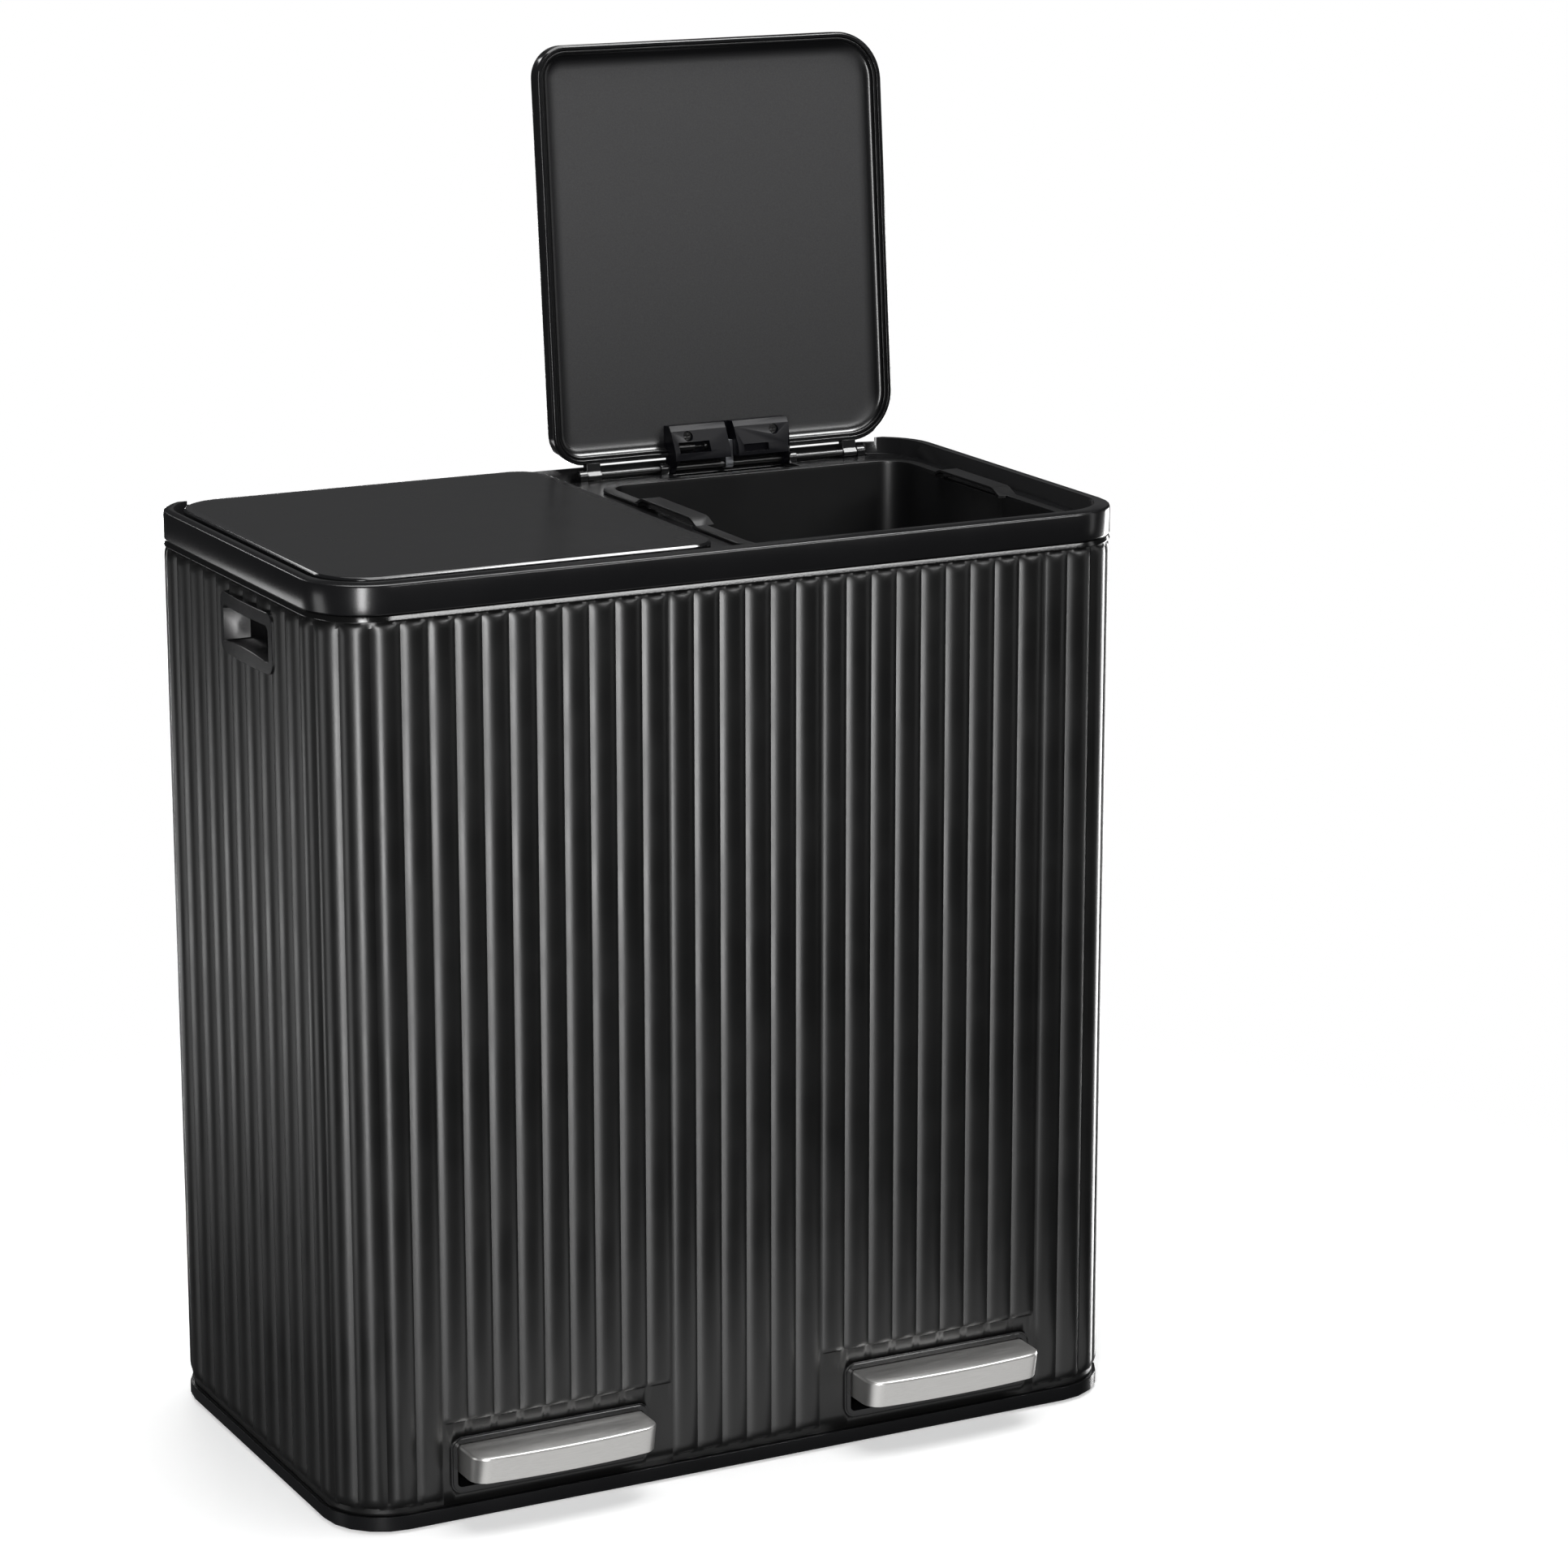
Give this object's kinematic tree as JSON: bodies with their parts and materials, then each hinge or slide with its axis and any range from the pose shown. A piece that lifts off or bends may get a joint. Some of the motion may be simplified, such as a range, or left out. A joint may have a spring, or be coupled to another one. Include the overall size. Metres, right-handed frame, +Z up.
{
  "type": "double recycling bin",
  "caption": "Tall rectangular pedal bin with a fluted body, two hinged lids worked by pedals, lift-out buckets and recessed side handles.",
  "frame": {"origin": "on the floor under the middle of the body's footprint", "axes": "+X to the right seen from the front, +Y to the back, +Z up"},
  "size_m": [0.606, 0.3948, 0.9484],
  "materials": {
    "painted_steel": "satin black paint",
    "black_plastic": "fine satin moulding",
    "lid_plastic": "charcoal satin",
    "liner_plastic": "smooth dark grey",
    "bucket_plastic": "satin black",
    "block_plastic": "smooth blue-black",
    "rubber": "matt",
    "brushed_steel": "brushed lengthwise",
    "zinc_steel": "zinc plated"
  },
  "bodies": {
    "bin_body": {"outer_body": "painted_steel", "base_tray": "black_plastic", "top_rim": "black_plastic", "foot_1": "rubber", "foot_2": "rubber", "foot_3": "rubber", "foot_4": "rubber", "right_handle_cup": "black_plastic", "right_pedal_frame": "black_plastic", "right_pedal_axle": "zinc_steel", "right_rod_guide": "black_plastic", "right_hinge_pin": "painted_steel", "left_handle_cup": "black_plastic", "left_pedal_frame": "black_plastic", "left_pedal_axle": "zinc_steel", "left_rod_guide": "black_plastic", "left_hinge_pin": "painted_steel"},
    "left_pedal": {"left_pedal_lever": "zinc_steel", "left_pedal_cap": "brushed_steel"},
    "left_rod": {"left_push_rod": "zinc_steel"},
    "left_lid": {"left_lid_shell": "lid_plastic", "left_lid_liner": "liner_plastic", "left_hinge_block": "block_plastic", "left_crank_arm": "zinc_steel", "left_damper": "black_plastic", "left_block_screw_1": "zinc_steel", "left_block_screw_2": "zinc_steel"},
    "left_bucket_body": {"left_bucket": "bucket_plastic"},
    "right_pedal": {"right_pedal_lever": "zinc_steel", "right_pedal_cap": "brushed_steel"},
    "right_rod": {"right_push_rod": "zinc_steel"},
    "right_lid": {"right_lid_shell": "lid_plastic", "right_lid_liner": "liner_plastic", "right_hinge_block": "block_plastic", "right_crank_arm": "zinc_steel", "right_damper": "black_plastic", "right_block_screw_1": "zinc_steel", "right_block_screw_2": "zinc_steel"},
    "right_bucket_body": {"right_bucket": "bucket_plastic"}
  },
  "joints": [
    {"name": "left_pedal_press", "type": "hinge", "parent": "bin_body", "child": "left_pedal", "pos_m": [-0.148, -0.095, 0.03], "axis": [1, 0, 0], "range_deg": [0, 4.27]},
    {"name": "left_rod_lift", "type": "slide", "parent": "bin_body", "child": "left_rod", "axis": [0, 0, 1], "range_m": [0, 0.018]},
    {"name": "right_pedal_press", "type": "hinge", "parent": "bin_body", "child": "right_pedal", "pos_m": [0.148, -0.095, 0.03], "axis": [1, 0, 0], "range_deg": [0, 4.27]},
    {"name": "right_rod_lift", "type": "slide", "parent": "bin_body", "child": "right_rod", "axis": [0, 0, 1], "range_m": [0, 0.018]},
    {"name": "left_lid_open", "type": "hinge", "parent": "bin_body", "child": "left_lid", "pos_m": [-0.149, 0.158, 0.641], "axis": [-1, 0, 0], "range_deg": [0, 95]},
    {"name": "right_lid_close", "type": "hinge", "parent": "bin_body", "child": "right_lid", "pos_m": [0.149, 0.158, 0.641], "axis": [-1, 0, 0], "range_deg": [-95, 0]},
    {"name": "left_bucket_play", "type": "slide", "parent": "bin_body", "child": "left_bucket_body", "axis": [0, 0, 1], "range_m": [0, 0.0012]},
    {"name": "right_bucket_lift", "type": "slide", "parent": "bin_body", "child": "right_bucket_body", "axis": [0, 0, 1], "range_m": [0, 0.56]}
  ],
  "couplings": [
    {"joint": "left_rod_lift", "follows": "left_pedal_press", "m_per_rad": 0.2415},
    {"joint": "left_lid_open", "follows": "left_pedal_press", "ratio": 22.24},
    {"joint": "right_rod_lift", "follows": "right_pedal_press", "m_per_rad": 0.2415}
  ]
}
